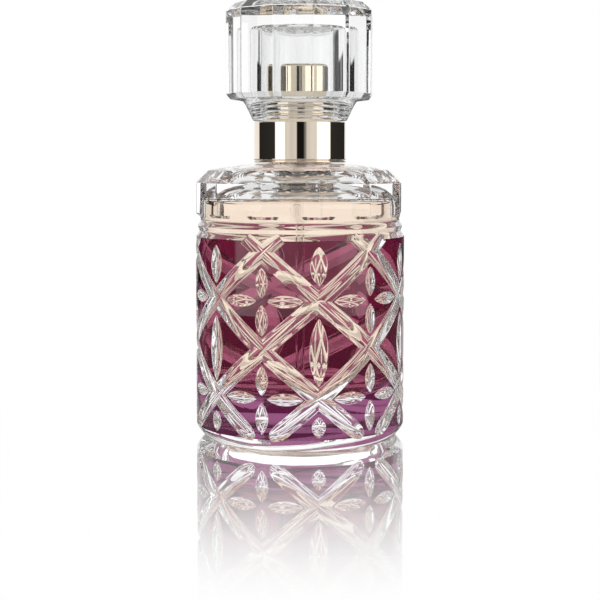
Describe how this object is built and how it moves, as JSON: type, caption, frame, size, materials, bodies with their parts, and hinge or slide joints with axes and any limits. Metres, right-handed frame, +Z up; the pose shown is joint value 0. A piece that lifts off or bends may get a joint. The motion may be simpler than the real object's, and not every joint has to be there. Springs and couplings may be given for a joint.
{
  "type": "perfume bottle",
  "caption": "Round cut-glass perfume spray bottle with plum stain, pale gold collar and button, and a clear faceted lift-off cap.",
  "frame": {"origin": "centre of the flat foot ring under the base, on the bottle's axis", "axes": "+Z up along the bottle's axis, -Y towards the front column of the cut pattern, +Y the way the spray nozzle points, +X to the right seen from the front"},
  "size_m": [0.052, 0.052, 0.1071],
  "materials": {
    "clear_glass": "polished cut glass, plum stain on the uncut wall",
    "clear_crystal": "polished clear",
    "perfume": "clear pale peach liquid",
    "pale_gold": "polished pale gold anodised",
    "frosted_liner": "translucent",
    "white_plastic": "moulded",
    "natural_plastic": "moulded, translucent",
    "dark_rubber": "matt",
    "steel": "polished",
    "aluminium": "satin"
  },
  "bodies": {
    "bottle": {"glass_bottle": "clear_glass", "perfume": "perfume", "neck_gasket": "dark_rubber", "crimp_ferrule": "aluminium", "pump_housing": "natural_plastic", "pump_turret": "white_plastic", "stem_seal": "dark_rubber", "spring_seat": "natural_plastic", "dip_tube": "natural_plastic", "return_spring": "steel", "collar_shell": "pale_gold", "collar_sleeve": "white_plastic"},
    "valve_ball": {"inlet_ball": "steel"},
    "pump_stem": {"stem": "white_plastic", "piston": "natural_plastic", "poppet": "natural_plastic"},
    "button": {"actuator_shell": "pale_gold", "actuator_core": "white_plastic", "nozzle_insert": "white_plastic"},
    "cap": {"cap_crystal": "clear_crystal", "cap_liner": "frosted_liner"}
  },
  "joints": [
    {"name": "cap_lift", "type": "slide", "parent": "bottle", "child": "cap", "axis": [0, 0, 1], "range_m": [0, 0.045]},
    {"name": "button_press", "type": "slide", "parent": "bottle", "child": "pump_stem", "axis": [0, 0, -1], "range_m": [0, 0.004], "stiffness_N_per_m": 1200, "springref_m": -0.005, "deforming": ["return_spring"]},
    {"name": "button_turn", "type": "hinge", "parent": "pump_stem", "child": "button", "pos_m": [0, 0, 0.088], "axis": [0, 0, 1], "continuous": true},
    {"name": "ball_lift", "type": "slide", "parent": "bottle", "child": "valve_ball", "axis": [0, 0, 1], "range_m": [0, 0.0008]}
  ]
}
